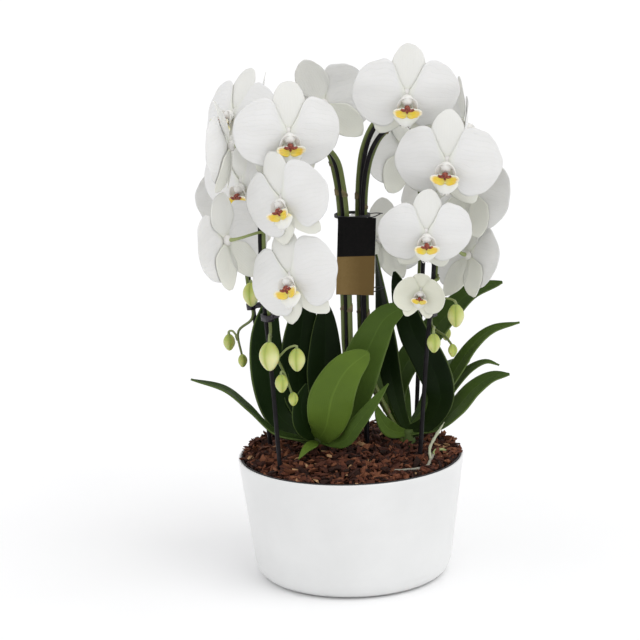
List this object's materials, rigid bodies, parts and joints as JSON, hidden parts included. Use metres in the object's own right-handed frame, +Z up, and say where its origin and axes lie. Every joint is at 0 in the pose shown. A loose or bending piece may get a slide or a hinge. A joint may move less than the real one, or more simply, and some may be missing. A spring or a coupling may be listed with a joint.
{
  "type": "potted moth orchid",
  "caption": "White moth orchids with arching flower stems tied to wire hoops, in a round white pot filled with bark.",
  "frame": {"origin": "middle of the pot's foot, on the surface that it stands on", "axes": "+Z up; the face with the hanging tag and the lowest bloom cascades looks along -Y; +X to its right as seen from there"},
  "size_m": [0.3406, 0.2616, 0.5587],
  "materials": {
    "pot": "smooth white satin glaze",
    "liner": "black moulded inner pot",
    "bark": "rough reddish-brown bark chips",
    "wire": "black coated wire",
    "stem": "smooth green plant skin, waxy",
    "leaf": "thick waxy green leaf",
    "bloom": "soft white petals, faintly veined",
    "lip": "yellow and white lip with fine dark red lines",
    "tag": "black over gold card",
    "clip": "dark purple-black plastic",
    "tie": "black plastic string",
    "root": "pale green-white aerial root"
  },
  "bodies": {
    "root": {"hoop_front_left": "wire", "hoop_back_left": "wire", "hoop_front_right": "wire", "hoop_back_right": "wire", "spray_front_left": "stem", "spray_back_left": "stem", "spray_front_right": "stem", "spray_back_right": "stem", "bloom_front_right_1": "bloom", "lip_front_right_1": "lip", "bloom_front_right_2": "bloom", "lip_front_right_2": "lip", "bloom_front_right_3": "bloom", "lip_front_right_3": "lip", "bloom_front_right_4": "bloom", "lip_front_right_4": "lip", "bloom_front_right_5": "bloom", "lip_front_right_5": "lip", "bloom_front_right_6": "bloom", "lip_front_right_6": "lip", "bloom_back_right_1": "bloom", "lip_back_right_1": "lip", "bloom_back_right_2": "bloom", "lip_back_right_2": "lip", "bloom_back_right_3": "bloom", "lip_back_right_3": "lip", "bloom_back_right_4": "bloom", "lip_back_right_4": "lip", "bloom_front_left_1": "bloom", "lip_front_left_1": "lip", "bloom_front_left_2": "bloom", "lip_front_left_2": "lip", "bloom_front_left_3": "bloom", "lip_front_left_3": "lip", "bloom_front_left_4": "bloom", "lip_front_left_4": "lip", "bloom_front_left_5": "bloom", "lip_front_left_5": "lip", "bloom_back_left_1": "bloom", "lip_back_left_1": "lip", "bloom_back_left_2": "bloom", "lip_back_left_2": "lip", "bloom_back_left_3": "bloom", "lip_back_left_3": "lip", "bloom_back_left_4": "bloom", "lip_back_left_4": "lip", "bloom_back_left_5": "bloom", "lip_back_left_5": "lip", "plant_left": "leaf", "plant_right": "leaf", "bark": "bark", "liner": "liner", "pot": "pot", "clip_front_left": "clip", "clip_back_left": "clip", "clip_front_right": "clip", "tie_upper": "tie", "tie_lower": "tie", "tag": "tag", "aerial_root": "root"}
  },
  "joints": []
}
